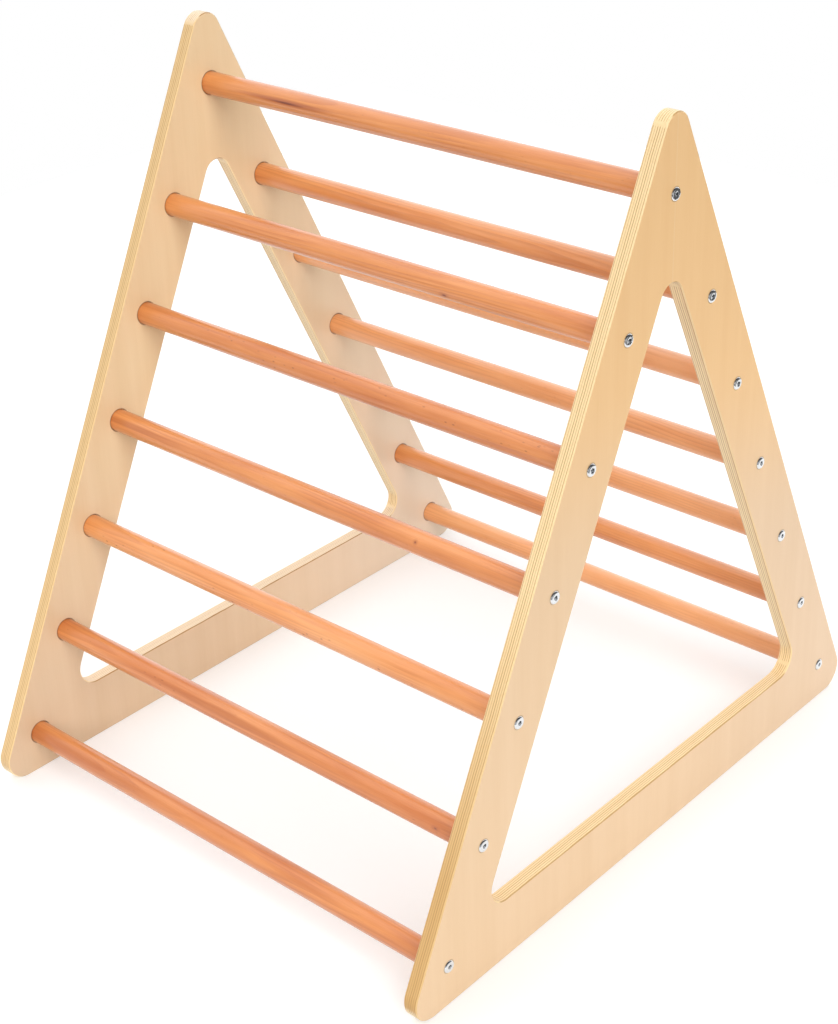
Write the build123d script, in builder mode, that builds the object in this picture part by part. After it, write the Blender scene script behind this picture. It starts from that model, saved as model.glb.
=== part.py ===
from build123d import *
import math
import os

# Fixed climbing triangle: two plywood A-frame side panels held apart by round beech rungs.
# Each rung end sits in a shallow socket and is pulled in by a bolt that runs through the
# panel into a threaded insert in the rung's end grain.
# Millimetres. X runs along the rungs, Y from the front legs to the back legs, Z is up.
# The origin is on the floor, in the middle of the footprint.

# Side panels
frame_width = 700.0  # over the outer faces of the two panels
panel_thickness = 18.0
panel_height = 887.0  # floor to the top of the rounded apex
leg_lean = 25.85  # degrees that each leg leans away from upright
leg_width = 80.0
base_bar_height = 80.0
apex_outer_radius = 22.0
apex_inner_radius = 20.0
foot_outer_radius = 28.0
foot_inner_radius = 25.0
edge_bevel = 1.2  # bevel sanded along every edge that a hand can reach

# Rungs
rungs_per_leg = 6
rung_diameter = 28.0
bottom_rung_height = 52.0  # floor to the axis of the lowest rungs
upper_rung_drop = 134.0  # axis of the top rung down to the axes of the highest leg rungs
top_rung_drop = 85.0  # top of the panel down to the axis of the top rung
socket_depth = 3.0  # how far a rung end is let into the panel
socket_clearance = 0.4  # between a rung and its socket, all round

# Connector bolts with a thin flat head and a hex socket
bolt_diameter = 8.0
bolt_length = 35.0  # under the head
head_diameter = 15.0
head_height = 1.8  # the head lies on the panel's face
head_bevel = 1.0
hex_across_flats = 5.0
hex_depth = 3.0
bolt_hole_clearance = 0.25  # between a bolt and its hole through the panel, all round

# Threaded inserts
insert_diameter = 12.0
insert_length = 25.0
thread_clearance = 0.1  # between a bolt and its insert, all round
insert_clearance = 0.1  # between an insert and its bore, all round
bore_spare_depth = 3.0  # bore left empty beyond the insert or the bolt's tip

# Threads, and the holes that only they fill, are hidden and repeat 26 times, so they are prisms
hidden_sides = 6

# Outline of a panel: the corners before rounding
lean = math.radians(leg_lean)
apex_z = panel_height + apex_outer_radius * (1 / math.sin(lean) - 1)
foot_y = apex_z * math.tan(lean)
cutout_apex_z = apex_z - leg_width / math.sin(lean)
cutout_foot_y = (cutout_apex_z - base_bar_height) * math.tan(lean)

# Rung axes: the leg rungs are evenly spaced up the middle of each leg
leg_axis_apex_z = apex_z - leg_width / 2 / math.sin(lean)
top_rung_z = panel_height - top_rung_drop
highest_rung_z = top_rung_z - upper_rung_drop
rung_rise = (highest_rung_z - bottom_rung_height) / (rungs_per_leg - 1)
rung_heights = [bottom_rung_height + step * rung_rise for step in range(rungs_per_leg)]
leg_offsets = [(leg_axis_apex_z - height) * math.tan(lean) for height in rung_heights]
rung_rows = {
    "top": [(0.0, top_rung_z)],
    "front": [(-offset, height) for offset, height in zip(leg_offsets, rung_heights)],
    "back": list(zip(leg_offsets, rung_heights)),
}
rung_axes = [place for row in rung_rows.values() for place in row]

# Stations along X, measured from the middle of the frame
outer_face_x = frame_width / 2
inner_face_x = outer_face_x - panel_thickness
rung_end_x = inner_face_x + socket_depth
bolt_tip_x = outer_face_x - bolt_length
head_top_x = outer_face_x + head_height
insert_bore_depth = max(insert_length, rung_end_x - bolt_tip_x) + bore_spare_depth

os.makedirs("parts", exist_ok=True)


def outward(x, y, z):
    """Plane square to the rungs at a point, facing away from the middle of the frame."""
    return Plane((x, y, z), x_dir=(0, 1, 0), z_dir=(math.copysign(1, x), 0, 0))


def write(piece, name):
    """Label a finished piece and write it to its own file."""
    piece.part.label = name
    export_step(piece.part, f"parts/{name}.step")


# Right side panel: rounded triangle, rounded cut-out, bevelled edges, then the drilling
with BuildPart() as right_panel:
    with BuildSketch(outward(inner_face_x, 0, 0)) as outline:
        Polygon((-foot_y, 0), (foot_y, 0), (0, apex_z), align=None)
        fillet(outline.vertices().group_by(Axis.Y)[-1], apex_outer_radius)
        fillet(outline.vertices().group_by(Axis.Y)[0], foot_outer_radius)
    extrude(amount=panel_thickness)
    with BuildSketch(outward(inner_face_x, 0, 0)) as cutout:
        Polygon(
            (-cutout_foot_y, base_bar_height),
            (cutout_foot_y, base_bar_height),
            (0, cutout_apex_z),
            align=None,
        )
        fillet(cutout.vertices().group_by(Axis.Y)[-1], apex_inner_radius)
        fillet(cutout.vertices().group_by(Axis.Y)[0], foot_inner_radius)
    extrude(amount=panel_thickness, mode=Mode.SUBTRACT)
    panel_faces = right_panel.faces().filter_by(Plane.YZ)
    chamfer(panel_faces.edges(), edge_bevel)
    with Locations(*(outward(rung_end_x, y, z) for y, z in rung_axes)):
        Hole(rung_diameter / 2 + socket_clearance, depth=socket_depth)
    with BuildSketch(outward(outer_face_x, 0, 0)):
        with Locations(*rung_axes):
            RegularPolygon(bolt_diameter / 2 + bolt_hole_clearance, hidden_sides)
    extrude(amount=-panel_thickness, mode=Mode.SUBTRACT)
write(right_panel, "right_panel")

# Left side panel: the right one mirrored, cut from the same drawing
with BuildPart() as left_panel:
    mirror(right_panel.part, about=Plane.YZ)
write(left_panel, "left_panel")

# One rung, lying along X through the origin, with each end bored for an insert
with BuildPart() as rung:
    with BuildSketch(Plane.YZ):
        Circle(rung_diameter / 2)
    extrude(amount=rung_end_x, both=True)
    with BuildSketch(outward(rung_end_x, 0, 0), outward(-rung_end_x, 0, 0)):
        RegularPolygon(insert_diameter / 2 + insert_clearance, hidden_sides)
    extrude(amount=-insert_bore_depth, mode=Mode.SUBTRACT)

# Bolt on the X axis, with its head against the panel's outer face
with BuildPart() as bolt:
    with BuildSketch(outward(bolt_tip_x, 0, 0)):
        RegularPolygon(bolt_diameter / 2, hidden_sides)
    extrude(amount=bolt_length)
    with BuildSketch(outward(outer_face_x, 0, 0)):
        Circle(head_diameter / 2)
    extrude(amount=head_height)
    chamfer(bolt.edges().group_by(Axis.X)[-1], head_bevel)
    with BuildSketch(outward(head_top_x, 0, 0)):
        RegularPolygon(hex_across_flats / 2, side_count=6, major_radius=False)
    extrude(amount=-hex_depth, mode=Mode.SUBTRACT)

# Threaded insert on the X axis, flush with the end of a rung
with BuildPart() as insert:
    with BuildSketch(outward(rung_end_x, 0, 0)):
        RegularPolygon(insert_diameter / 2, hidden_sides)
        RegularPolygon(bolt_diameter / 2 + thread_clearance, hidden_sides, mode=Mode.SUBTRACT)
    extrude(amount=-insert_length)

# Each rung is a piece of its own, numbered up from the floor
for row, places in rung_rows.items():
    for number, (y, z) in enumerate(places, start=1):
        with BuildPart() as placed_rung:
            with Locations((0, y, z)):
                add(rung.part)
        write(placed_rung, "top_rung" if row == "top" else f"{row}_rung_{number}")

# Bolts and inserts go in by panel and row, as the separate pieces of a set
for row, places in rung_rows.items():
    plural = "" if len(places) == 1 else "s"
    for fastener, kind in ((bolt, "bolt"), (insert, "insert")):
        with BuildPart() as right_set:
            with Locations(*((0, y, z) for y, z in places)):
                add(fastener.part)
        write(right_set, f"right_{row}_{kind}{plural}")
        with BuildPart() as left_set:
            mirror(right_set.part, about=Plane.YZ)
        write(left_set, f"left_{row}_{kind}{plural}")
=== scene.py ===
import bmesh
import bpy
import math
import random
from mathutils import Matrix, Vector


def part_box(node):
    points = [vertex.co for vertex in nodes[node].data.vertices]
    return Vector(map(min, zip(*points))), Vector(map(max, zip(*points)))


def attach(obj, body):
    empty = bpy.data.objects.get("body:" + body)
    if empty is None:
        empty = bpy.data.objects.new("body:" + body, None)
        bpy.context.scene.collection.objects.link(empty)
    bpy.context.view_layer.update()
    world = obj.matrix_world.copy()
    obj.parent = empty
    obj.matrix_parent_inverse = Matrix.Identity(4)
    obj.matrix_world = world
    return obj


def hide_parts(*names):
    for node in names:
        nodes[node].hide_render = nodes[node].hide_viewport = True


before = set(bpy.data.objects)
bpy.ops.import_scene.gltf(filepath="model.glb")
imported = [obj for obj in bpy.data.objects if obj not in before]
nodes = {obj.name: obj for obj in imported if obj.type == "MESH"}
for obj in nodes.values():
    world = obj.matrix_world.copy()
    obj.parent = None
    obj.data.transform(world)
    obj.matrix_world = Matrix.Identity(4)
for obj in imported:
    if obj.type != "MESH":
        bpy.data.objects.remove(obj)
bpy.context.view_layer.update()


# Side panels
# Two triangles of 18 mm birch plywood, each sawn and drilled from one board, with sanded edges and a
# thin clear lacquer. The face grain runs upright, and each rung end sits in a round socket.
def linear(code):
    """A colour written as sRGB hex, as linear RGBA."""
    parts = [int(code[place : place + 2], 16) / 255 for place in (1, 3, 5)]
    return [c / 12.92 if c <= 0.04045 else ((c + 0.055) / 1.055) ** 2.4 for c in parts] + [1.0]


def add(tree, kind, inputs=None, stops=(), **settings):
    """A new node with its settings, its inputs filled in or linked, and its colour stops."""
    made = tree.nodes.new(kind)
    for name, value in settings.items():
        setattr(made, name, value)
    for name, value in (inputs or {}).items():
        if isinstance(value, bpy.types.NodeSocket):
            tree.links.new(value, made.inputs[name])
        else:
            made.inputs[name].default_value = value
    for order, (position, code) in enumerate(stops):
        marks = made.color_ramp.elements
        mark = marks[order] if order < len(marks) else marks.new(position)
        mark.position = position
        mark.color = linear(code)
    return made


def new_finish(name):
    """A material with an empty node tree, and that tree."""
    material = bpy.data.materials.new(name)
    material.use_nodes = True
    material.node_tree.nodes.clear()
    return material, material.node_tree


# Rotary-cut birch, sanded and lacquered: pale honey, almost plain, with a soft sheen. The sawn edge
# shows its 13 sheets, glued with the grain crossed, so pale long grain and darker end grain alternate.
plywood, tree = new_finish("lacquered_birch_plywood")
board_low, board_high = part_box("right_panel")
sheet_count = 13
sheet_waver = 0.0016
place = add(tree, "ShaderNodeTexCoord").outputs["Object"]
xyz = add(tree, "ShaderNodeSeparateXYZ", {0: place})
side = add(tree, "ShaderNodeMath", {0: xyz.outputs["X"]}, operation="ABSOLUTE").outputs[0]
off_middle = add(tree, "ShaderNodeMath", {0: xyz.outputs["Y"]}, operation="ABSOLUTE").outputs[0]
waver = add(tree, "ShaderNodeTexNoise", {"Vector": place, "Scale": 1 / 0.040, "Detail": 2.0})
swell = add(
    tree,
    "ShaderNodeMath",
    {0: waver.outputs["Fac"], 1: sheet_waver, 2: side},
    operation="MULTIPLY_ADD",
)
sheets = add(
    tree,
    "ShaderNodeMapRange",
    {
        "Value": swell.outputs[0],
        "From Min": board_high.x + sheet_waver / 2,
        "From Max": board_low.x + sheet_waver / 2,
        "To Min": 0.0,
        "To Max": float(sheet_count),
    },
)
inside = add(
    tree, "ShaderNodeClamp", {"Value": sheets.outputs[0], "Min": 0.5, "Max": sheet_count - 0.5}
).outputs[0]
sheet = add(tree, "ShaderNodeMath", {0: inside}, operation="FLOOR").outputs[0]
crossed = add(tree, "ShaderNodeMath", {0: sheet, 1: 2.0}, operation="MODULO").outputs[0]
normal = add(tree, "ShaderNodeNewGeometry").outputs["Normal"]
facing = add(tree, "ShaderNodeVectorMath", {0: normal}, operation="ABSOLUTE")
facings = add(tree, "ShaderNodeSeparateXYZ", {0: facing.outputs[0]})

# Grain runs upright in the face sheets and level in the crossed ones. The real fibres are too fine to
# show, so they are drawn about 1 mm wide.
level = add(
    tree,
    "ShaderNodeCombineXYZ",
    {"X": xyz.outputs["X"], "Y": xyz.outputs["Z"], "Z": xyz.outputs["Y"]},
)
along = add(
    tree, "ShaderNodeMix", {"Factor": crossed, 4: place, 5: level.outputs[0]}, data_type="VECTOR"
).outputs[1]
bands = add(
    tree, "ShaderNodeMapping", {"Vector": along, "Scale": (1 / 0.004, 1 / 0.022, 1 / 0.420)}
)
bands = add(
    tree, "ShaderNodeTexNoise", {"Vector": bands.outputs[0], "Scale": 1.0, "Detail": 3.0}
).outputs["Fac"]
fibres = add(
    tree, "ShaderNodeMapping", {"Vector": along, "Scale": (1 / 0.001, 1 / 0.0013, 1 / 0.045)}
)
fibres = add(
    tree, "ShaderNodeTexNoise", {"Vector": fibres.outputs[0], "Scale": 1.0, "Detail": 3.0}
).outputs["Fac"]
figure = add(tree, "ShaderNodeMix", {"Factor": 0.3, "A": bands, "B": fibres}).outputs[0]

# The face sheets vary, as real leaves of veneer do. The right one is rosier and darker to the back,
# partly its own tone and partly painted shade, and honey coloured to the top, partly painted shade too,
# where a pale joint between two leaves runs down from the apex. The left one is rosy and darker at its
# foot, a painted contact shade, yellower above, and from front to back lighter and paler, painted shade
# at the front and painted light in the back corner.
pale_face = add(
    tree, "ShaderNodeValToRGB", {"Fac": figure}, stops=[(0.30, "#EAC79D"), (0.70, "#EFCEA7")]
).outputs["Color"]
rosy_shade_face = add(
    tree, "ShaderNodeValToRGB", {"Fac": figure}, stops=[(0.30, "#E3C4A2"), (0.70, "#E9CCAD")]
).outputs["Color"]
honey_face = add(
    tree, "ShaderNodeValToRGB", {"Fac": figure}, stops=[(0.30, "#F4C68C"), (0.70, "#F9CE96")]
).outputs["Color"]
on_left = add(tree, "ShaderNodeMath", {0: xyz.outputs["X"], 1: 0.0}, operation="LESS_THAN")
# Toward the back the right face turns rosier and darker, partly its own tone and partly painted shade;
# on the left face this also places the painted light of the back corner
painted_toward_back = add(
    tree,
    "ShaderNodeMapRange",
    {"Value": xyz.outputs["Y"], "From Min": 0.0, "From Max": 0.40, "To Max": 0.8},
)
veneer = add(
    tree, "ShaderNodeMix", {"Factor": painted_toward_back.outputs[0], 6: pale_face, 7: rosy_shade_face}, data_type="RGBA"
).outputs[2]
left_face = add(
    tree, "ShaderNodeValToRGB", {"Fac": figure}, stops=[(0.30, "#E7C99D"), (0.70, "#EDD1A8")]
).outputs["Color"]
# Painted contact shade: the left face is rosier and darker at its foot
foot_painted_shade = add(
    tree,
    "ShaderNodeMapRange",
    {"Value": xyz.outputs["Z"], "From Min": 0.10, "From Max": 0.45, "To Min": 0.8, "To Max": 0.0},
)
left_face = add(
    tree, "ShaderNodeMix", {"Factor": foot_painted_shade.outputs[0], 6: left_face, 7: rosy_shade_face}, data_type="RGBA"
).outputs[2]
veneer = add(
    tree, "ShaderNodeMix", {"Factor": on_left.outputs[0], 6: veneer, 7: left_face}, data_type="RGBA"
).outputs[2]
# Painted shade on the left face: darker at the front, where the key lights it most, and lighter to the
# back
left_painted_tone = add(
    tree,
    "ShaderNodeMapRange",
    {"Value": xyz.outputs["Y"], "From Min": -0.40, "From Max": 0.10, "To Min": 0.90, "To Max": 1.08},
)
left_painted_tone = add(
    tree, "ShaderNodeMix", {"Factor": on_left.outputs[0], "A": 1.0, "B": left_painted_tone.outputs[0]}
)
veneer = add(
    tree, "ShaderNodeHueSaturation", {"Value": left_painted_tone.outputs[0], "Color": veneer}
).outputs["Color"]
# Painted light: the back of the left face is lightened toward a pale cream, where the corner gets
# little light
left_back_painted_light = add(
    tree, "ShaderNodeMath", {0: painted_toward_back.outputs[0], 1: on_left.outputs[0]}, operation="MULTIPLY"
)
veneer = add(
    tree,
    "ShaderNodeMix",
    {"Factor": left_back_painted_light.outputs[0], 6: veneer, 7: linear("#F6E7D3")},
    data_type="RGBA",
).outputs[2]
# Honey toward the top of the right face: partly the veneer's tone and partly painted shade, the top
# getting less light from the floor
climb = add(
    tree,
    "ShaderNodeMath",
    {0: xyz.outputs["Y"], 1: 0.25, 2: xyz.outputs["Z"]},
    operation="MULTIPLY_ADD",
)
climb = add(
    tree,
    "ShaderNodeMapRange",
    {"Value": climb.outputs[0], "From Min": 0.36, "From Max": 0.62},
    interpolation_type="SMOOTHSTEP",
)
on_right = add(tree, "ShaderNodeMath", {0: xyz.outputs["X"], 1: 0.0}, operation="GREATER_THAN")
honey_top_shade = add(
    tree, "ShaderNodeMath", {0: climb.outputs[0], 1: on_right.outputs[0]}, operation="MULTIPLY"
).outputs[0]
veneer = add(
    tree, "ShaderNodeMix", {"Factor": honey_top_shade, 6: veneer, 7: honey_face}, data_type="RGBA"
).outputs[2]
joint = add(
    tree,
    "ShaderNodeMapRange",
    {"Value": off_middle, "From Min": 0.0003, "From Max": 0.0009, "To Min": 0.2, "To Max": 0.0},
)
joint = add(tree, "ShaderNodeMath", {0: joint.outputs[0], 1: honey_top_shade}, operation="MULTIPLY")
veneer = add(
    tree,
    "ShaderNodeMix",
    {"Factor": joint.outputs[0], 6: veneer, 7: linear("#FBE3BE")},
    data_type="RGBA",
).outputs[2]

# A sheet cut across its grain shows as a tan line on a sawn edge: the crossed sheets on the legs, and
# the upright ones on the base bar. Each line has its own strength, and the one next to the outer face
# is never faint. They are drawn about 0.8 mm wide, narrower than a sheet, so that they stay apart.
lines = add(tree, "ShaderNodeMath", {0: inside, 1: 0.5, 2: -0.75}, operation="MULTIPLY_ADD").outputs[0]
to_crossed = add(tree, "ShaderNodeMath", {0: lines, 1: 0.5}, operation="PINGPONG").outputs[0]
to_upright = add(tree, "ShaderNodeMath", {0: 0.5, 1: to_crossed}, operation="SUBTRACT").outputs[0]
is_level = add(
    tree, "ShaderNodeMapRange", {"Value": facings.outputs["Z"], "From Min": 0.45, "From Max": 0.70}
)
to_line = add(
    tree, "ShaderNodeMix", {"Factor": is_level.outputs[0], "A": to_crossed, "B": to_upright}
).outputs[0]
line = add(
    tree,
    "ShaderNodeMapRange",
    {"Value": to_line, "From Min": 0.08, "From Max": 0.20, "To Min": 1.0, "To Max": 0.0},
)
order = add(tree, "ShaderNodeMath", {0: lines}, operation="ROUND").outputs[0]
own_tone = add(tree, "ShaderNodeTexWhiteNoise", {"W": order}, noise_dimensions="1D").outputs["Value"]
own_tone = add(tree, "ShaderNodeMapRange", {"Value": own_tone, "To Min": 0.40, "To Max": 0.85})
first = add(
    tree,
    "ShaderNodeMapRange",
    {"Value": inside, "From Min": 2.2, "From Max": 2.8, "To Min": 0.65, "To Max": 0.0},
)
strength = add(
    tree, "ShaderNodeMath", {0: own_tone.outputs[0], 1: first.outputs[0]}, operation="MAXIMUM"
)
line = add(tree, "ShaderNodeMath", {0: line.outputs[0], 1: strength.outputs[0]}, operation="MULTIPLY")

# Between the lines the edges are pale long grain. The outer edges of the left panel, and of the right
# one low down, are more golden, and the left one's level edges are a duller cream, partly a painted
# sheen of the lit top edges. The edges that face down are the palest, which is painted light standing
# in for light from below, and they turn brown next to the outer face.
turned = add(tree, "ShaderNodeSeparateXYZ", {0: normal})
under_painted_light = add(
    tree,
    "ShaderNodeMapRange",
    {"Value": turned.outputs["Z"], "From Min": -0.10, "From Max": -0.40, "To Max": 0.9},
)
left_level_cream_sheen = add(
    tree, "ShaderNodeMath", {0: on_left.outputs[0], 1: is_level.outputs[0]}, operation="MULTIPLY"
).outputs[0]
long_grain = add(
    tree, "ShaderNodeValToRGB", {"Fac": fibres}, stops=[(0.25, "#F3D19A"), (0.75, "#FAE1B1")]
).outputs["Color"]
low_down = add(
    tree,
    "ShaderNodeMapRange",
    {"Value": xyz.outputs["Z"], "From Min": 0.15, "From Max": 0.45, "To Min": 1.0, "To Max": 0.0},
)
golden = add(tree, "ShaderNodeMix", {"Factor": on_left.outputs[0], "A": low_down.outputs[0], "B": 0.55})
outwards = add(
    tree, "ShaderNodeMath", {0: turned.outputs["Y"], 1: xyz.outputs["Y"]}, operation="MULTIPLY"
)
outwards = add(tree, "ShaderNodeMath", {0: outwards.outputs[0], 1: 0.0}, operation="GREATER_THAN")
outwards = add(
    tree, "ShaderNodeMath", {0: outwards.outputs[0], 1: facings.outputs["Y"]}, operation="MULTIPLY"
)
golden = add(
    tree, "ShaderNodeMath", {0: golden.outputs[0], 1: outwards.outputs[0]}, operation="MULTIPLY"
)
sawn = add(
    tree,
    "ShaderNodeMix",
    {"Factor": golden.outputs[0], 6: long_grain, 7: linear("#CFA465")},
    data_type="RGBA",
).outputs[2]
# The left panel's level edges turn a duller cream, partly its own tone and partly a painted sheen of
# the lit top edges
sawn = add(
    tree, "ShaderNodeMix", {"Factor": left_level_cream_sheen, 6: sawn, 7: linear("#F0D9B8")}, data_type="RGBA"
).outputs[2]
# Painted light: the edges that face down are made the palest, standing in for light from below
sawn = add(
    tree, "ShaderNodeMix", {"Factor": under_painted_light.outputs[0], 6: sawn, 7: linear("#FFEABE")}, data_type="RGBA"
).outputs[2]
brown = add(
    tree,
    "ShaderNodeMapRange",
    {"Value": inside, "From Min": 1.0, "From Max": 4.0, "To Min": 0.44, "To Max": 0.0},
)
brown = add(tree, "ShaderNodeMath", {0: brown.outputs[0], 1: under_painted_light.outputs[0]}, operation="MULTIPLY")
sawn = add(
    tree, "ShaderNodeMix", {"Factor": brown.outputs[0], 6: sawn, 7: linear("#C48A45")}, data_type="RGBA"
).outputs[2]
sawn = add(
    tree,
    "ShaderNodeMix",
    {"Factor": line.outputs[0], 6: sawn, 7: linear("#A87530")},
    data_type="RGBA",
).outputs[2]
is_face = add(
    tree, "ShaderNodeMapRange", {"Value": facings.outputs["X"], "From Min": 0.75, "From Max": 0.98}
)
colour = add(
    tree, "ShaderNodeMix", {"Factor": is_face.outputs[0], 6: sawn, 7: veneer}, data_type="RGBA"
).outputs[2]

# A thin brown line is painted round each socket in the inner faces, a painted shadow of the gap round
# the rung end, and a thin brown ring round each bolt head on the outer ones, a painted contact shadow
# where the head beds on the face. The six sockets of a leg lie in one straight row, so the nearest one
# is known from the height.
socket_radius, socket_depth = 0.0144, 0.003
head_radius = 0.0075
rung_axis = {}
for name in sorted(name for name in nodes if "rung" in name):
    low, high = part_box(name)
    rung_axis[name] = (low + high) / 2
lowest, highest = rung_axis["back_rung_1"], rung_axis["back_rung_6"]
steps = 5
nearest = add(
    tree,
    "ShaderNodeMapRange",
    {"Value": xyz.outputs["Z"], "From Min": lowest.z, "From Max": highest.z, "To Max": float(steps)},
)
nearest = add(tree, "ShaderNodeMath", {0: nearest.outputs[0]}, operation="ROUND").outputs[0]
socket_y = add(
    tree,
    "ShaderNodeMath",
    {0: nearest, 1: (highest.y - lowest.y) / steps, 2: lowest.y},
    operation="MULTIPLY_ADD",
)
socket_z = add(
    tree,
    "ShaderNodeMath",
    {0: nearest, 1: (highest.z - lowest.z) / steps, 2: lowest.z},
    operation="MULTIPLY_ADD",
)
folded = add(tree, "ShaderNodeCombineXYZ", {"Y": off_middle, "Z": xyz.outputs["Z"]}).outputs[0]
socket = add(tree, "ShaderNodeCombineXYZ", {"Y": socket_y.outputs[0], "Z": socket_z.outputs[0]})
to_leg_socket = add(
    tree, "ShaderNodeVectorMath", {0: folded, 1: socket.outputs[0]}, operation="DISTANCE"
)
to_top_socket = add(
    tree,
    "ShaderNodeVectorMath",
    {0: folded, 1: (0.0, 0.0, rung_axis["top_rung"].z)},
    operation="DISTANCE",
)
to_socket = add(
    tree,
    "ShaderNodeMath",
    {0: to_leg_socket.outputs["Value"], 1: to_top_socket.outputs["Value"]},
    operation="MINIMUM",
)
# Painted shadow of the gap round each rung end, on the inner faces
painted_shadow_line = add(
    tree,
    "ShaderNodeMapRange",
    {
        "Value": to_socket.outputs[0],
        "From Min": socket_radius + 0.0006,
        "From Max": socket_radius + 0.0012,
        "To Min": 0.65,
        "To Max": 0.0,
    },
)
inner = add(
    tree, "ShaderNodeMath", {0: side, 1: board_low.x + socket_depth + 0.001}, operation="LESS_THAN"
)
# Painted contact shadow round each bolt head, on the outer faces
ring = add(
    tree,
    "ShaderNodeMapRange",
    {
        "Value": to_socket.outputs[0],
        "From Min": head_radius + 0.0002,
        "From Max": head_radius + 0.0011,
        "To Min": 0.5,
        "To Max": 0.0,
    },
)
painted_shadow_line = add(
    tree,
    "ShaderNodeMix",
    {"Factor": inner.outputs[0], "A": ring.outputs[0], "B": painted_shadow_line.outputs[0]},
)
# The painted shadow lines are mixed into the colour here
colour = add(
    tree,
    "ShaderNodeMix",
    {"Factor": painted_shadow_line.outputs[0], 6: colour, 7: linear("#7C4A28")},
    data_type="RGBA",
).outputs[2]
gloss = add(tree, "ShaderNodeMapRange", {"Value": figure, "To Min": 0.34, "To Max": 0.50})
pores = add(tree, "ShaderNodeBump", {"Strength": 0.06, "Distance": 0.0003, "Height": fibres})
surface = add(
    tree,
    "ShaderNodeBsdfPrincipled",
    {
        "Base Color": colour,
        "Roughness": gloss.outputs[0],
        "IOR": 1.5,
        "Normal": pores.outputs[0],
    },
)
add(tree, "ShaderNodeOutputMaterial", {"Surface": surface.outputs[0]})
for name in ("left_panel", "right_panel"):
    nodes[name].data.materials.clear()
    nodes[name].data.materials.append(plywood)


# Rungs
# Thirteen round bars of steamed beech, turned, sanded and lacquered, each from another board and held
# at both ends by a socket and a bolt. Some are paler than others, the back ones partly as painted light
# for the more light that reaches them, three are well flecked, four have a dark flame and four a knot.

# Steaming turns beech a reddish orange. Its growth rings draw long pointed flames along a bar, and the
# lacquer gives a clear sheen at a low angle. The real fibres are too fine to show, so they are drawn
# 1 mm wide.
beech, tree = new_finish("lacquered_steamed_beech")
place = add(tree, "ShaderNodeTexCoord").outputs["Object"]
board = add(tree, "ShaderNodeAttribute", attribute_type="OBJECT", attribute_name="board")
depth = add(
    tree, "ShaderNodeAttribute", attribute_type="OBJECT", attribute_name="depth"
).outputs["Fac"]
flecked = add(
    tree, "ShaderNodeAttribute", attribute_type="OBJECT", attribute_name="flecked"
).outputs["Fac"]
in_board = add(
    tree, "ShaderNodeVectorMath", {0: place, 1: board.outputs["Vector"]}, operation="ADD"
).outputs[0]
streaks = add(
    tree, "ShaderNodeMapping", {"Vector": in_board, "Scale": (1 / 0.150, 1 / 0.016, 1 / 0.016)}
)
streaks = add(
    tree, "ShaderNodeTexNoise", {"Vector": streaks.outputs[0], "Scale": 1.0, "Detail": 2.0}
).outputs["Fac"]
fibres = add(
    tree, "ShaderNodeMapping", {"Vector": in_board, "Scale": (1 / 0.030, 1 / 0.001, 1 / 0.001)}
)
fibres = add(
    tree, "ShaderNodeTexNoise", {"Vector": fibres.outputs[0], "Scale": 1.0, "Detail": 2.0}
).outputs["Fac"]
figure = add(tree, "ShaderNodeMix", {"Factor": 0.25, "A": streaks, "B": fibres}).outputs[0]
drift = add(
    tree,
    "ShaderNodeMapRange",
    {"Value": figure, "From Min": 0.30, "From Max": 0.70, "To Min": -0.26, "To Max": 0.26},
)
deep = add(tree, "ShaderNodeMath", {0: depth, 1: drift.outputs[0]}, operation="ADD").outputs[0]
colour = add(
    tree,
    "ShaderNodeValToRGB",
    {"Fac": deep},
    stops=[(0.0, "#F6AF74"), (0.5, "#E59452"), (1.0, "#CA7335")],
).outputs["Color"]

# Growth rings 3.5 mm apart, cut at a slight slope. Their late wood comes and goes along a bar.
year_width = 0.0035
in_tree = add(
    tree,
    "ShaderNodeMapping",
    {"Vector": in_board, "Rotation": (0.0, math.radians(0.5), math.radians(0.8))},
)
heart = add(
    tree, "ShaderNodeVectorMath", {0: in_tree.outputs[0], 1: (0.0, 1.0, 1.0)}, operation="MULTIPLY"
)
growth = add(tree, "ShaderNodeVectorMath", {0: heart.outputs[0]}, operation="LENGTH").outputs["Value"]
bends = add(
    tree, "ShaderNodeMapping", {"Vector": in_board, "Scale": (1 / 0.200, 1 / 0.022, 1 / 0.022)}
)
bends = add(tree, "ShaderNodeTexNoise", {"Vector": bends.outputs[0], "Scale": 1.0, "Detail": 1.5})
years = add(
    tree,
    "ShaderNodeMath",
    {0: bends.outputs["Fac"], 1: 0.008, 2: growth},
    operation="MULTIPLY_ADD",
)
years = add(tree, "ShaderNodeMath", {0: years.outputs[0], 1: year_width}, operation="DIVIDE")
season = add(tree, "ShaderNodeMath", {0: years.outputs[0]}, operation="FRACT").outputs[0]
late = add(
    tree,
    "ShaderNodeMapRange",
    {"Value": season, "From Min": 0.25, "From Max": 0.93},
    interpolation_type="SMOOTHSTEP",
)
winter = add(
    tree,
    "ShaderNodeMapRange",
    {"Value": season, "From Min": 0.93, "From Max": 1.0, "To Min": 1.0, "To Max": 0.0},
)
late = add(tree, "ShaderNodeMath", {0: late.outputs[0], 1: winter.outputs[0]}, operation="MULTIPLY")
fading = add(
    tree, "ShaderNodeMapping", {"Vector": in_board, "Scale": (1 / 0.130, 1 / 0.040, 1 / 0.040)}
)
fading = add(tree, "ShaderNodeTexNoise", {"Vector": fading.outputs[0], "Scale": 1.0, "Detail": 1.0})
fading = add(
    tree,
    "ShaderNodeMapRange",
    {"Value": fading.outputs["Fac"], "From Min": 0.40, "From Max": 0.62, "To Min": 0.15},
)
late = add(tree, "ShaderNodeMath", {0: late.outputs[0], 1: fading.outputs[0]}, operation="MULTIPLY")
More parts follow.
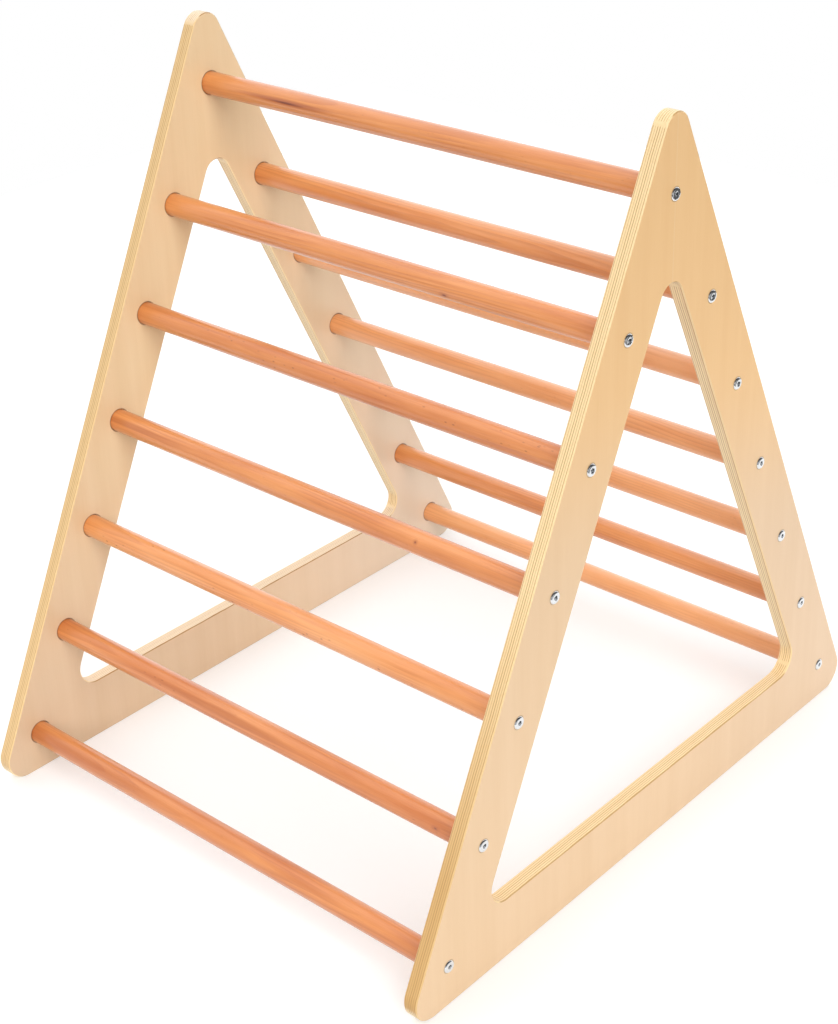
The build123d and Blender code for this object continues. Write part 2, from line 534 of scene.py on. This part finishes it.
shown = add(tree, "ShaderNodeMath", {0: depth, 1: 0.26, 2: 0.16}, operation="MULTIPLY_ADD")
late = add(tree, "ShaderNodeMath", {0: late.outputs[0], 1: shown.outputs[0]}, operation="MULTIPLY")
colour = add(
    tree,
    "ShaderNodeMix",
    {"Factor": late.outputs[0], 6: colour, 7: linear("#AE5626")},
    data_type="RGBA",
).outputs[2]

# Rays cut across show as short dark flecks, in patches, drawn about 1.5 mm wide so that they show
flecks = add(
    tree, "ShaderNodeMapping", {"Vector": in_board, "Scale": (1 / 0.014, 1 / 0.006, 1 / 0.006)}
)
flecks = add(tree, "ShaderNodeTexVoronoi", {"Vector": flecks.outputs[0], "Scale": 1.0})
fleck = add(
    tree,
    "ShaderNodeMapRange",
    {
        "Value": flecks.outputs["Distance"],
        "From Min": 0.07,
        "From Max": 0.18,
        "To Min": 1.0,
        "To Max": 0.0,
    },
)
patch = add(
    tree, "ShaderNodeMapRange", {"Value": bends.outputs["Fac"], "From Min": 0.48, "From Max": 0.60}
)
fleck = add(tree, "ShaderNodeMath", {0: fleck.outputs[0], 1: patch.outputs[0]}, operation="MULTIPLY")
fleck = add(tree, "ShaderNodeMath", {0: fleck.outputs[0], 1: flecked}, operation="MULTIPLY")
colour = add(
    tree,
    "ShaderNodeMix",
    {"Factor": fleck.outputs[0], 6: colour, 7: linear("#9A5228")},
    data_type="RGBA",
).outputs[2]

# A flame is one broad patch of late wood that tapers along the bar. A knot is a dark heart, drawn out
# along the bar in a reddish halo. Each layer is dark up to a first distance and gone at a second.
layers = {
    "flame": [(1.30, 1.95, 0.50, "#A9531F")],
    "knot": [(1.20, 3.00, 0.55, "#A6502A"), (0.90, 1.60, 0.85, "#6E2C1A")],
}
for mark in layers:
    middle = add(tree, "ShaderNodeAttribute", attribute_type="OBJECT", attribute_name=mark)
    reach = add(tree, "ShaderNodeAttribute", attribute_type="OBJECT", attribute_name=mark + "_reach")
    away = add(
        tree, "ShaderNodeVectorMath", {0: place, 1: middle.outputs["Vector"]}, operation="SUBTRACT"
    )
    away = add(
        tree,
        "ShaderNodeVectorMath",
        {0: away.outputs[0], 1: reach.outputs["Vector"]},
        operation="DIVIDE",
    )
    away = add(tree, "ShaderNodeVectorMath", {0: away.outputs[0]}, operation="LENGTH")
    away = add(
        tree, "ShaderNodeMath", {0: streaks, 1: 1.6, 2: away.outputs["Value"]}, operation="MULTIPLY_ADD"
    )
    for dark_to, gone_at, strength, code in layers[mark]:
        layer = add(
            tree,
            "ShaderNodeMapRange",
            {
                "Value": away.outputs[0],
                "From Min": dark_to,
                "From Max": gone_at,
                "To Min": strength,
                "To Max": 0.0,
            },
        )
        colour = add(
            tree,
            "ShaderNodeMix",
            {"Factor": layer.outputs[0], 6: colour, 7: linear(code)},
            data_type="RGBA",
        ).outputs[2]
gloss = add(tree, "ShaderNodeMapRange", {"Value": figure, "To Min": 0.30, "To Max": 0.45})
pores = add(tree, "ShaderNodeBump", {"Strength": 0.08, "Distance": 0.0003, "Height": fibres})
surface = add(
    tree,
    "ShaderNodeBsdfPrincipled",
    {
        "Base Color": colour,
        "Roughness": gloss.outputs[0],
        "IOR": 1.5,
        "Normal": pores.outputs[0],
        "Coat Weight": 0.7,
        "Coat Roughness": 0.22,
        "Coat IOR": 1.5,
    },
)
add(tree, "ShaderNodeOutputMaterial", {"Surface": surface.outputs[0]})

rung_radius = 0.014
# How deep each rung's colour is: its own board's tone, and on the back rungs partly painted light, set
# paler where more light reaches them
rung_depth_and_light = {
    "top_rung": 0.70,
    "front_rung_1": 0.80,
    "front_rung_2": 0.82,
    "front_rung_3": 0.42,
    "front_rung_4": 0.66,
    "front_rung_5": 0.76,
    "front_rung_6": 0.62,
    "back_rung_1": 0.12,
    "back_rung_2": 0.60,
    "back_rung_3": 0.20,
    "back_rung_4": 0.20,
    "back_rung_5": 0.10,
    "back_rung_6": 0.42,
}
rung_flecks = {"front_rung_3": 0.9, "front_rung_5": 0.7, "front_rung_2": 0.5}
few_flecks = 0.15
# For each flame or knot its place along the bar, the angle round it up from the back, its half length
# and its half width. A rung without one has it far off its end.
far_off = (9.0, 0, 0.001, 0.001)
rung_marks = {
    "flame": {
        "top_rung": (-0.190, 165, 0.070, 0.0030),
        "front_rung_1": (-0.332, 150, 0.230, 0.0090),
        "front_rung_2": (-0.060, 150, 0.150, 0.0045),
        "front_rung_4": (-0.332, 150, 0.150, 0.0040),
    },
    "knot": {
        "top_rung": (-0.190, 170, 0.034, 0.0020),
        "front_rung_2": (0.295, 165, 0.004, 0.0020),
        "front_rung_4": (0.169, 150, 0.002, 0.0020),
        "front_rung_6": (0.115, 200, 0.004, 0.0020),
    },
}
lumber = random.Random(13)
for name in rung_axis:
    away = lumber.uniform(0.045, 0.090)
    turn = lumber.uniform(0.0, 2 * math.pi)
    nodes[name]["board"] = [
        lumber.uniform(1.0, 3.0),
        away * math.cos(turn) - rung_axis[name].y,
        away * math.sin(turn) - rung_axis[name].z,
    ]
    nodes[name]["depth"] = rung_depth_and_light[name]
    nodes[name]["flecked"] = rung_flecks.get(name, few_flecks)
    for mark in rung_marks:
        along, angle, half_length, half_width = rung_marks[mark].get(name, far_off)
        nodes[name][mark] = [
            along,
            rung_axis[name].y + rung_radius * math.cos(math.radians(angle)),
            rung_axis[name].z + rung_radius * math.sin(math.radians(angle)),
        ]
        nodes[name][mark + "_reach"] = [half_length, half_width, half_width]
    nodes[name].data.materials.clear()
    nodes[name].data.materials.append(beech)


# Bolts
# Connector bolts of bright zinc-plated steel, with a thin flat head 15 mm across, a rounded rim and a
# 5 mm hex socket. One runs through the panel into each rung end, and its head lies on the panel's face.

# Bright zinc is a cool grey mirror, faintly mottled, that takes its tones from the room
zinc, tree = new_finish("bright_zinc_plated_steel")
place = add(tree, "ShaderNodeTexCoord").outputs["Object"]
mottle = add(
    tree, "ShaderNodeTexNoise", {"Vector": place, "Scale": 1 / 0.002, "Detail": 3.0}
).outputs["Fac"]
colour = add(
    tree, "ShaderNodeValToRGB", {"Fac": mottle}, stops=[(0.3, "#D9DCDF"), (0.7, "#E5E7E9")]
).outputs["Color"]
gloss = add(tree, "ShaderNodeMapRange", {"Value": mottle, "To Min": 0.10, "To Max": 0.18})
surface = add(
    tree,
    "ShaderNodeBsdfPrincipled",
    {"Base Color": colour, "Metallic": 1.0, "Roughness": gloss.outputs[0]},
)
add(tree, "ShaderNodeOutputMaterial", {"Surface": surface.outputs[0]})

# The rim lies halfway between a quarter circle and a straight bevel
spokes = 48
hex_flat, hex_depth = 0.0025, 0.0024
cone_radius, cone_depth = 0.0016, 0.0006
mouth_radius, mouth_depth = 0.0031, 0.0002
crown_radius, head_height, shank_radius = 0.0060, 0.0018, 0.0034
rim_steps, rim_drop = 6, 0.0015
skirt_bevel, tip_bevel = 0.0001, 0.0008
shoulder = []
for step in range(rim_steps + 1):
    share = step / rim_steps
    angle = math.radians(90) * share
    across = (math.sin(angle) + share) / 2
    down = (1 - math.cos(angle) + share) / 2
    shoulder.append((crown_radius + (head_radius - crown_radius) * across, rim_drop * down))


def turned_bolts(set_name, rung_names):
    """One mesh of the bolts that a CAD set holds, spun round the axes of their rungs."""
    low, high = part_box(set_name)
    outward = 1 if high.x > 0 else -1
    crown_x = high.x if high.x > 0 else low.x
    length = high.x - low.x
    rings = [(0.0, hex_depth + cone_depth), (cone_radius, hex_depth)]
    rings += [("hex", hex_depth), ("hex", mouth_depth), (mouth_radius, 0.0)] + shoulder
    rings += [(head_radius, head_height - skirt_bevel), (head_radius - skirt_bevel, head_height)]
    rings += [(shank_radius, head_height), (shank_radius, length - tip_bevel)]
    rings += [(shank_radius - tip_bevel, length), (0.0, length)]
    points, faces = [], []
    for rung_name in rung_names:
        axis = rung_axis[rung_name]
        first = len(points)
        for radius, inward in rings:
            for spoke in range(spokes):
                angle = 2 * math.pi * spoke / spokes
                reach = radius
                if radius == "hex":
                    reach = hex_flat / math.cos((angle + math.pi / 6) % (math.pi / 3) - math.pi / 6)
                points.append(
                    (
                        crown_x - outward * inward,
                        axis.y + outward * reach * math.cos(angle),
                        axis.z + reach * math.sin(angle),
                    )
                )
        for ring in range(len(rings) - 1):
            for spoke in range(spokes):
                a = first + ring * spokes + spoke
                b = first + ring * spokes + (spoke + 1) % spokes
                faces.append((a, a + spokes, b + spokes, b))
    mesh = bpy.data.meshes.new("turned_" + set_name)
    mesh.from_pydata(points, [], faces)
    # The points that meet on the axis become one
    spun = bmesh.new()
    spun.from_mesh(mesh)
    bmesh.ops.remove_doubles(spun, verts=spun.verts, dist=0.000001)
    spun.to_mesh(mesh)
    spun.free()
    mesh.validate()
    mesh.shade_smooth()
    mesh.set_sharp_from_angle(angle=math.radians(32))
    mesh.materials.append(zinc)
    bolts = bpy.data.objects.new("turned_" + set_name, mesh)
    bpy.context.scene.collection.objects.link(bolts)
    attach(bolts, "root")
    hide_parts(set_name)


for hand in ("left", "right"):
    for row in ("front", "back"):
        turned_bolts(f"{hand}_{row}_bolts", [name for name in rung_axis if name.startswith(row)])
    turned_bolts(f"{hand}_top_bolt", ["top_rung"])


# Inserts
# Threaded nuts of die-cast zinc alloy, driven into the rungs' end grain. They are out of sight once the
# rungs are bolted on.

# Cast zinc is a warmer, duller grey, with a grainy skin
cast_zinc, tree = new_finish("die_cast_zinc_alloy")
place = add(tree, "ShaderNodeTexCoord").outputs["Object"]
mottle = add(
    tree, "ShaderNodeTexNoise", {"Vector": place, "Scale": 1 / 0.001, "Detail": 3.0}
).outputs["Fac"]
colour = add(
    tree, "ShaderNodeValToRGB", {"Fac": mottle}, stops=[(0.3, "#ABA89E"), (0.7, "#BDBAB0")]
).outputs["Color"]
gloss = add(tree, "ShaderNodeMapRange", {"Value": mottle, "To Min": 0.38, "To Max": 0.55})
surface = add(
    tree,
    "ShaderNodeBsdfPrincipled",
    {"Base Color": colour, "Metallic": 1.0, "Roughness": gloss.outputs[0]},
)
add(tree, "ShaderNodeOutputMaterial", {"Surface": surface.outputs[0]})
for name in nodes:
    if "insert" in name:
        nodes[name].data.materials.clear()
        nodes[name].data.materials.append(cast_zinc)


# Studio
# A wide sheet of white paper on the floor of a dim room. The backdrop behind the frame and the ceiling
# over it to the back left are lit, with a low fill from the front and a lit wall on the right. A soft
# key lamp at the upper front right is kept out of the reflections.
paper_left, paper_right, paper_front, paper_back = -2.2, 1.15, -2.6, 2.2
floor_mesh = bpy.data.meshes.new("floor")
floor_mesh.from_pydata(
    [
        (paper_left, paper_front, 0),
        (paper_right, paper_front, 0),
        (paper_right, paper_back, 0),
        (paper_left, paper_back, 0),
    ],
    [],
    [(0, 1, 2, 3)],
)
floor = bpy.data.objects.new("floor", floor_mesh)
bpy.context.scene.collection.objects.link(floor)

# Matt paper that stays white to the eye and in the metal, and still takes the frame's shadow
paper, tree = new_finish("white_paper")
rays = add(tree, "ShaderNodeLightPath")
seen = add(
    tree,
    "ShaderNodeMath",
    {0: rays.outputs["Is Camera Ray"], 1: rays.outputs["Is Glossy Ray"]},
    operation="MAXIMUM",
)
lift = add(tree, "ShaderNodeMath", {0: seen.outputs[0], 1: 0.35}, operation="MULTIPLY")
matt = add(tree, "ShaderNodeBsdfDiffuse", {"Color": linear("#DADADA")})
glow = add(tree, "ShaderNodeEmission", {"Strength": lift.outputs[0]})
both = add(tree, "ShaderNodeAddShader", {0: matt.outputs[0], 1: glow.outputs[0]})
add(tree, "ShaderNodeOutputMaterial", {"Surface": both.outputs[0]})
floor_mesh.materials.append(paper)

# The room's light by direction. The camera itself sees plain white.
room = bpy.data.worlds.new("white_room")
bpy.context.scene.world = room
room.use_nodes = True
tree = room.node_tree
tree.nodes.clear()
heading = add(tree, "ShaderNodeTexCoord").outputs["Generated"]
heading_xyz = add(tree, "ShaderNodeSeparateXYZ", {0: heading})
height = heading_xyz.outputs["Z"]
sides = add(
    tree,
    "ShaderNodeMapRange",
    {
        "Value": heading_xyz.outputs["X"],
        "From Min": -0.2,
        "From Max": 0.6,
        "To Min": 0.80,
        "To Max": 0.10,
    },
    interpolation_type="SMOOTHSTEP",
)
slant = add(
    tree, "ShaderNodeVectorMath", {0: heading, 1: (1.0, -0.5, 0.0)}, operation="DOT_PRODUCT"
)
ceiling = add(
    tree,
    "ShaderNodeMapRange",
    {
        "Value": slant.outputs["Value"],
        "From Min": -0.25,
        "From Max": 0.25,
        "To Min": 1.6,
        "To Max": 0.06,
    },
    interpolation_type="SMOOTHSTEP",
)
overhead = add(
    tree,
    "ShaderNodeMapRange",
    {"Value": height, "From Min": 0.40, "From Max": 0.80},
    interpolation_type="SMOOTHSTEP",
)
dim = add(
    tree,
    "ShaderNodeMix",
    {"Factor": overhead.outputs[0], "A": sides.outputs[0], "B": ceiling.outputs[0]},
)
behind = add(
    tree, "ShaderNodeVectorMath", {0: heading, 1: (-0.6, 0.8, 0.0)}, operation="DOT_PRODUCT"
)
backdrop = add(
    tree,
    "ShaderNodeMapRange",
    {"Value": behind.outputs["Value"], "From Min": 0.35, "From Max": 0.75},
    interpolation_type="SMOOTHSTEP",
)
hem = add(
    tree,
    "ShaderNodeMapRange",
    {"Value": height, "From Min": 0.60, "From Max": 0.90, "To Min": 1.0, "To Max": 0.0},
    interpolation_type="SMOOTHSTEP",
)
backdrop = add(
    tree, "ShaderNodeMath", {0: backdrop.outputs[0], 1: hem.outputs[0]}, operation="MULTIPLY"
)
bright = add(tree, "ShaderNodeMix", {"Factor": backdrop.outputs[0], "A": dim.outputs[0], "B": 1.5})
ahead = add(
    tree, "ShaderNodeVectorMath", {0: heading, 1: (0.1, -1.0, 0.0)}, operation="DOT_PRODUCT"
)
ahead = add(
    tree,
    "ShaderNodeMapRange",
    {"Value": ahead.outputs["Value"], "From Min": 0.3, "From Max": 0.9, "To Max": 0.42},
    interpolation_type="SMOOTHSTEP",
)
low = add(
    tree,
    "ShaderNodeMapRange",
    {"Value": height, "From Min": 0.25, "From Max": 0.45, "To Min": 1.0, "To Max": 0.0},
    interpolation_type="SMOOTHSTEP",
)
bright = add(
    tree,
    "ShaderNodeMath",
    {0: ahead.outputs[0], 1: low.outputs[0], 2: bright.outputs[0]},
    operation="MULTIPLY_ADD",
)
ground = add(
    tree,
    "ShaderNodeMapRange",
    {"Value": height, "From Min": -0.10, "From Max": 0.0, "To Min": 1.0, "To Max": 0.0},
)
bright = add(
    tree, "ShaderNodeMix", {"Factor": ground.outputs[0], "A": bright.outputs[0], "B": 0.12}
)
beside = add(
    tree, "ShaderNodeVectorMath", {0: heading, 1: (1.0, 0.0, -0.1)}, operation="DOT_PRODUCT"
)
beside = add(
    tree,
    "ShaderNodeMapRange",
    {"Value": beside.outputs["Value"], "From Min": 0.80, "From Max": 0.95, "To Max": 0.5},
    interpolation_type="SMOOTHSTEP",
)
bright = add(tree, "ShaderNodeMath", {0: bright.outputs[0], 1: beside.outputs[0]}, operation="ADD")
rays = add(tree, "ShaderNodeLightPath")
shown = add(
    tree,
    "ShaderNodeMix",
    {"Factor": rays.outputs["Is Camera Ray"], "A": bright.outputs[0], "B": 1.0},
)
walls = add(
    tree, "ShaderNodeBackground", {"Color": linear("#FFFFFF"), "Strength": shown.outputs[0]}
)
add(tree, "ShaderNodeOutputWorld", {"Surface": walls.outputs[0]})

key = bpy.data.lights.new("key", "SUN")
key.energy = 2.45
key.angle = math.radians(50)
key_stand = bpy.data.objects.new("key", key)
key_stand.rotation_euler = Vector((0.70, -0.42, 0.58)).to_track_quat("Z", "Y").to_euler()
key_stand.visible_glossy = False
bpy.context.scene.collection.objects.link(key_stand)

# Camera where the photograph was taken from, over the front right corner
lens = bpy.data.cameras.new("camera")
lens.sensor_fit = "VERTICAL"
lens.sensor_height = 36.0
lens.lens = 66.418
lens.shift_x = -0.03833
lens.shift_y = -0.02389
camera = bpy.data.objects.new("camera", lens)
camera.location = (1.37198, -1.51524, 1.42580)
camera.rotation_euler = [math.radians(angle) for angle in (62.32596, 1.10631, 40.47797)]
bpy.context.scene.collection.objects.link(camera)
bpy.context.scene.camera = camera
bpy.context.scene.view_settings.view_transform = "Standard"
